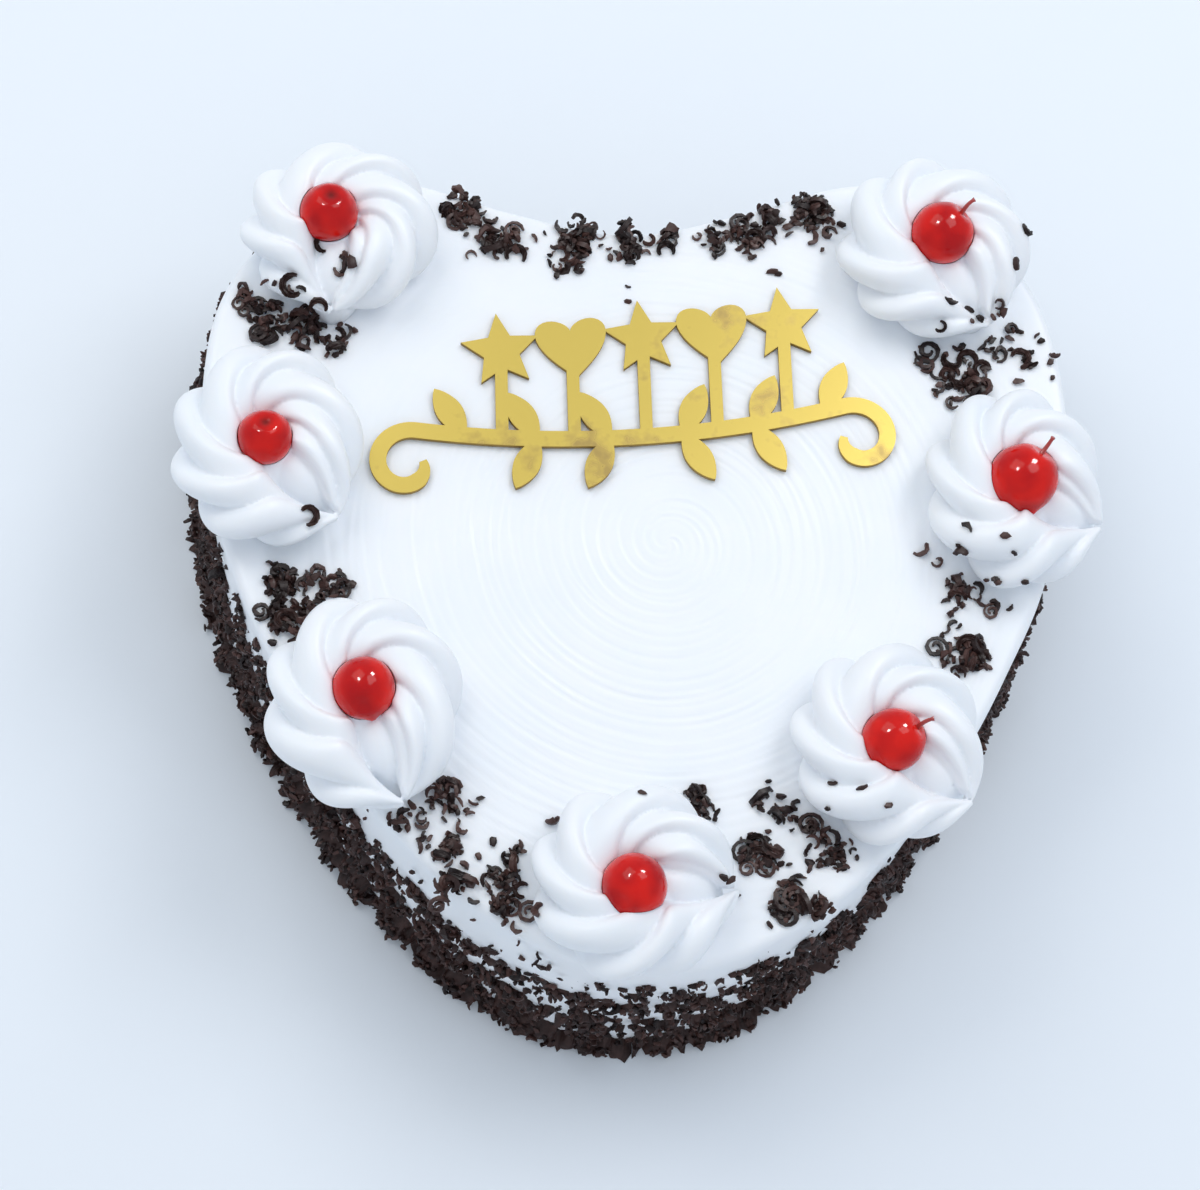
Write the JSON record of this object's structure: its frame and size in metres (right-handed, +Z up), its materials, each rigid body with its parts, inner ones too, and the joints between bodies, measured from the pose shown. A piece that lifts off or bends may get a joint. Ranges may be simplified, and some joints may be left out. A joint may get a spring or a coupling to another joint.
{
  "type": "decorated cream cake",
  "caption": "Heart-shaped cream cake coated with dark shavings, topped with piped rosettes, a glazed cherry on each, and a flat gilt ornament.",
  "frame": {"origin": "middle of the cake's box at the level of its flat foot", "axes": "+Z up, the heart's rounded tip (the front) towards -Y, the notch towards +Y, +X to the right seen from the front"},
  "size_m": [0.2206, 0.209, 0.0898],
  "materials": {
    "cream": "whipped cream, soft satin",
    "shavings": "dark chocolate shavings, matt",
    "cherry": "glazed translucent fruit, wet gloss",
    "gilt": "gold mirror acrylic, laser cut"
  },
  "bodies": {
    "root": {"cake_body": "cream", "cream_rosette_1": "cream", "cream_rosette_2": "cream", "cream_rosette_3": "cream", "cream_rosette_4": "cream", "cream_rosette_5": "cream", "cream_rosette_6": "cream", "cream_rosette_7": "cream", "cherry_1": "cherry", "cherry_2": "cherry", "cherry_3": "cherry", "cherry_4": "cherry", "cherry_5": "cherry", "cherry_6": "cherry", "cherry_7": "cherry", "gold_topper": "gilt"}
  },
  "joints": []
}
